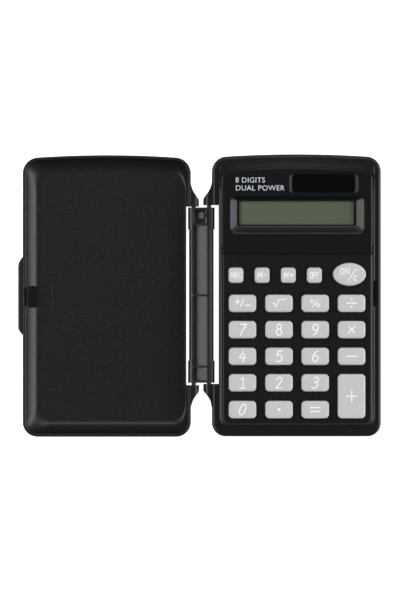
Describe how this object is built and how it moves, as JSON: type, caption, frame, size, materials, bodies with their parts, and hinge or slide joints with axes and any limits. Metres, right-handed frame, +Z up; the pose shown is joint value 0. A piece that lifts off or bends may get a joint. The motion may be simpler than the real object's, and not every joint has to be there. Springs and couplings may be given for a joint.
{
  "type": "folding pocket calculator",
  "caption": "Book-style pocket calculator lying open, with a snap-shut tray cover, a double-axis hinge spine, sprung keys, a recessed display and a solar window.",
  "frame": {"origin": "centre of the open part's footprint, at the surface it lies on", "axes": "+X from the cover towards the calculator body, +Y towards the display end, +Z up out of the keys"},
  "size_m": [0.1474, 0.1148, 0.0095],
  "materials": {
    "case_black": "fine texture",
    "panel_black": "satin",
    "clear_window": "clear",
    "dark_window": "gloss",
    "lcd_glass": "satin",
    "solar_dark": "gloss",
    "rubber_dark": "matte",
    "rubber_grey": "matte",
    "board_green": "solder mask",
    "epoxy_black": "gloss",
    "cell_steel": "satin",
    "contact_steel": "satin",
    "screw_steel": "dark zinc",
    "key_grey": "satin"
  },
  "bodies": {
    "body": {"front_case": "case_black", "rear_case": "case_black", "case_screw_1": "screw_steel", "case_screw_2": "screw_steel", "case_screw_3": "screw_steel", "case_screw_4": "screw_steel", "display_panel": "panel_black", "lcd_window": "clear_window", "lcd_module": "lcd_glass", "lcd_connector": "rubber_dark", "solar_window": "dark_window", "solar_cell": "solar_dark", "pcb": "board_green", "chip_blob": "epoxy_black", "dome_sheet": "rubber_grey", "button_cell": "cell_steel", "battery_contact_top": "contact_steel", "battery_contact_side": "contact_steel"},
    "spine": {"hinge_spine": "case_black"},
    "cover": {"cover": "case_black"},
    "door": {"battery_door": "case_black"},
    "key_mrc_cap": {"key_mrc": "key_grey"},
    "key_m_minus_cap": {"key_m_minus": "key_grey"},
    "key_m_plus_cap": {"key_m_plus": "key_grey"},
    "key_off_cap": {"key_off": "key_grey"},
    "key_on_c_cap": {"key_on_c": "key_grey"},
    "key_sign_cap": {"key_sign": "key_grey"},
    "key_sqrt_cap": {"key_sqrt": "key_grey"},
    "key_percent_cap": {"key_percent": "key_grey"},
    "key_divide_cap": {"key_divide": "key_grey"},
    "key_7_cap": {"key_7": "key_grey"},
    "key_8_cap": {"key_8": "key_grey"},
    "key_9_cap": {"key_9": "key_grey"},
    "key_multiply_cap": {"key_multiply": "key_grey"},
    "key_4_cap": {"key_4": "key_grey"},
    "key_5_cap": {"key_5": "key_grey"},
    "key_6_cap": {"key_6": "key_grey"},
    "key_minus_cap": {"key_minus": "key_grey"},
    "key_1_cap": {"key_1": "key_grey"},
    "key_2_cap": {"key_2": "key_grey"},
    "key_3_cap": {"key_3": "key_grey"},
    "key_0_cap": {"key_0": "key_grey"},
    "key_dot_cap": {"key_dot": "key_grey"},
    "key_equals_cap": {"key_equals": "key_grey"},
    "key_plus_cap": {"key_plus": "key_grey"}
  },
  "joints": [
    {"name": "spine_hinge", "type": "hinge", "parent": "body", "child": "spine", "pos_m": [0.00385, 0, 0.003], "axis": [0, 1, 0], "range_deg": [-90, 90]},
    {"name": "cover_hinge", "type": "hinge", "parent": "spine", "child": "cover", "pos_m": [-0.00235, 0, 0.003], "axis": [0, 1, 0], "range_deg": [-90, 90]},
    {"name": "door_slide", "type": "slide", "parent": "body", "child": "door", "axis": [0, 1, 0], "range_m": [0, 0.01]},
    {"name": "key_mrc_press", "type": "slide", "parent": "body", "child": "key_mrc_cap", "axis": [0, 0, -1], "range_m": [0, 0.0008], "stiffness_N_per_m": 900},
    {"name": "key_m_minus_press", "type": "slide", "parent": "body", "child": "key_m_minus_cap", "axis": [0, 0, -1], "range_m": [0, 0.0008], "stiffness_N_per_m": 900},
    {"name": "key_m_plus_press", "type": "slide", "parent": "body", "child": "key_m_plus_cap", "axis": [0, 0, -1], "range_m": [0, 0.0008], "stiffness_N_per_m": 900},
    {"name": "key_off_press", "type": "slide", "parent": "body", "child": "key_off_cap", "axis": [0, 0, -1], "range_m": [0, 0.0008], "stiffness_N_per_m": 900},
    {"name": "key_on_c_press", "type": "slide", "parent": "body", "child": "key_on_c_cap", "axis": [0, 0, -1], "range_m": [0, 0.0008], "stiffness_N_per_m": 900},
    {"name": "key_sign_press", "type": "slide", "parent": "body", "child": "key_sign_cap", "axis": [0, 0, -1], "range_m": [0, 0.0008], "stiffness_N_per_m": 900},
    {"name": "key_sqrt_press", "type": "slide", "parent": "body", "child": "key_sqrt_cap", "axis": [0, 0, -1], "range_m": [0, 0.0008], "stiffness_N_per_m": 900},
    {"name": "key_percent_press", "type": "slide", "parent": "body", "child": "key_percent_cap", "axis": [0, 0, -1], "range_m": [0, 0.0008], "stiffness_N_per_m": 900},
    {"name": "key_divide_press", "type": "slide", "parent": "body", "child": "key_divide_cap", "axis": [0, 0, -1], "range_m": [0, 0.0008], "stiffness_N_per_m": 900},
    {"name": "key_7_press", "type": "slide", "parent": "body", "child": "key_7_cap", "axis": [0, 0, -1], "range_m": [0, 0.0008], "stiffness_N_per_m": 900},
    {"name": "key_8_press", "type": "slide", "parent": "body", "child": "key_8_cap", "axis": [0, 0, -1], "range_m": [0, 0.0008], "stiffness_N_per_m": 900},
    {"name": "key_9_press", "type": "slide", "parent": "body", "child": "key_9_cap", "axis": [0, 0, -1], "range_m": [0, 0.0008], "stiffness_N_per_m": 900},
    {"name": "key_multiply_press", "type": "slide", "parent": "body", "child": "key_multiply_cap", "axis": [0, 0, -1], "range_m": [0, 0.0008], "stiffness_N_per_m": 900},
    {"name": "key_4_press", "type": "slide", "parent": "body", "child": "key_4_cap", "axis": [0, 0, -1], "range_m": [0, 0.0008], "stiffness_N_per_m": 900},
    {"name": "key_5_press", "type": "slide", "parent": "body", "child": "key_5_cap", "axis": [0, 0, -1], "range_m": [0, 0.0008], "stiffness_N_per_m": 900},
    {"name": "key_6_press", "type": "slide", "parent": "body", "child": "key_6_cap", "axis": [0, 0, -1], "range_m": [0, 0.0008], "stiffness_N_per_m": 900},
    {"name": "key_minus_press", "type": "slide", "parent": "body", "child": "key_minus_cap", "axis": [0, 0, -1], "range_m": [0, 0.0008], "stiffness_N_per_m": 900},
    {"name": "key_1_press", "type": "slide", "parent": "body", "child": "key_1_cap", "axis": [0, 0, -1], "range_m": [0, 0.0008], "stiffness_N_per_m": 900},
    {"name": "key_2_press", "type": "slide", "parent": "body", "child": "key_2_cap", "axis": [0, 0, -1], "range_m": [0, 0.0008], "stiffness_N_per_m": 900},
    {"name": "key_3_press", "type": "slide", "parent": "body", "child": "key_3_cap", "axis": [0, 0, -1], "range_m": [0, 0.0008], "stiffness_N_per_m": 900},
    {"name": "key_0_press", "type": "slide", "parent": "body", "child": "key_0_cap", "axis": [0, 0, -1], "range_m": [0, 0.0008], "stiffness_N_per_m": 900},
    {"name": "key_dot_press", "type": "slide", "parent": "body", "child": "key_dot_cap", "axis": [0, 0, -1], "range_m": [0, 0.0008], "stiffness_N_per_m": 900},
    {"name": "key_equals_press", "type": "slide", "parent": "body", "child": "key_equals_cap", "axis": [0, 0, -1], "range_m": [0, 0.0008], "stiffness_N_per_m": 900},
    {"name": "key_plus_press", "type": "slide", "parent": "body", "child": "key_plus_cap", "axis": [0, 0, -1], "range_m": [0, 0.0008], "stiffness_N_per_m": 900}
  ]
}
